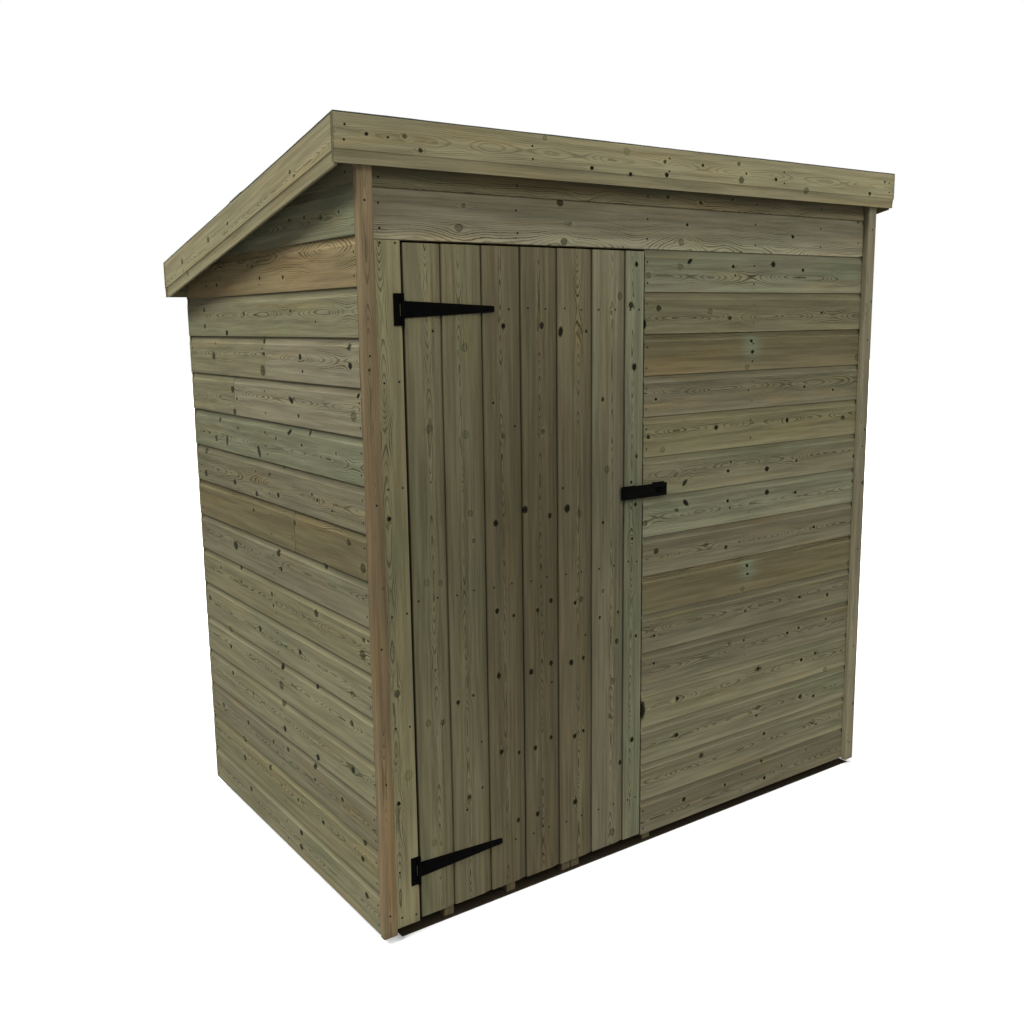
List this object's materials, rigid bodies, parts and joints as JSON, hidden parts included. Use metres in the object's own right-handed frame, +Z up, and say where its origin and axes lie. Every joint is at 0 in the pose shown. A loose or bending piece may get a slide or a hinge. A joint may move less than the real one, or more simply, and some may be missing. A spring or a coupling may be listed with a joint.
{
  "type": "garden shed",
  "caption": "Small wooden garden shed with shiplap walls, a sloping felted roof and one outward-opening boarded door with tee hinges and a hasp.",
  "frame": {"origin": "on the ground, under the middle of the roof", "axes": "+Z up; the front wall with the door faces -Y; +X to the right of someone facing the door"},
  "size_m": [1.936, 1.202, 1.955],
  "materials": {
    "treated_wood": "planed, pressure treated",
    "trim_wood": "planed",
    "sawn_wood": "rough sawn",
    "floor_wood": "planed",
    "felt": "mineral grit",
    "black_steel": "black paint"
  },
  "bodies": {
    "shed": {"floor_bearers": "treated_wood", "floor_boards": "floor_wood", "front_frame": "sawn_wood", "left_frame": "sawn_wood", "right_frame": "sawn_wood", "back_frame": "sawn_wood", "front_boards_head": "treated_wood", "front_boards_right": "treated_wood", "door_post_board": "treated_wood", "left_boards": "treated_wood", "right_boards": "treated_wood", "back_boards": "treated_wood", "corner_trim_left": "trim_wood", "corner_trim_right": "trim_wood", "roof_purlins": "sawn_wood", "roof_battens": "sawn_wood", "roof_deck": "sawn_wood", "roof_felt": "felt", "fascia_front": "treated_wood", "fascia_back": "treated_wood", "fascia_left": "treated_wood", "fascia_right": "treated_wood", "hinge_plate_top": "black_steel", "hinge_plate_bottom": "black_steel", "hasp_staple": "black_steel"},
    "door": {"door_board_1": "treated_wood", "door_board_2": "treated_wood", "door_board_3": "treated_wood", "door_board_4": "treated_wood", "door_board_5": "treated_wood", "door_board_6": "treated_wood", "door_board_7": "treated_wood", "door_ledge_top": "sawn_wood", "door_ledge_middle": "sawn_wood", "door_ledge_bottom": "sawn_wood", "door_brace_upper": "sawn_wood", "door_brace_lower": "sawn_wood", "hinge_strap_top": "black_steel", "hinge_strap_bottom": "black_steel", "hasp_base": "black_steel"},
    "flap": {"hasp_flap": "black_steel"}
  },
  "joints": [
    {"name": "door_hinge", "type": "hinge", "parent": "shed", "child": "door", "pos_m": [-0.797, -0.5705, 0], "axis": [0, 0, -1], "range_deg": [0, 165]},
    {"name": "hasp_hinge", "type": "hinge", "parent": "door", "child": "flap", "pos_m": [-0.13, -0.5705, 1.047], "axis": [0, 0, -1], "range_deg": [0, 170]}
  ]
}
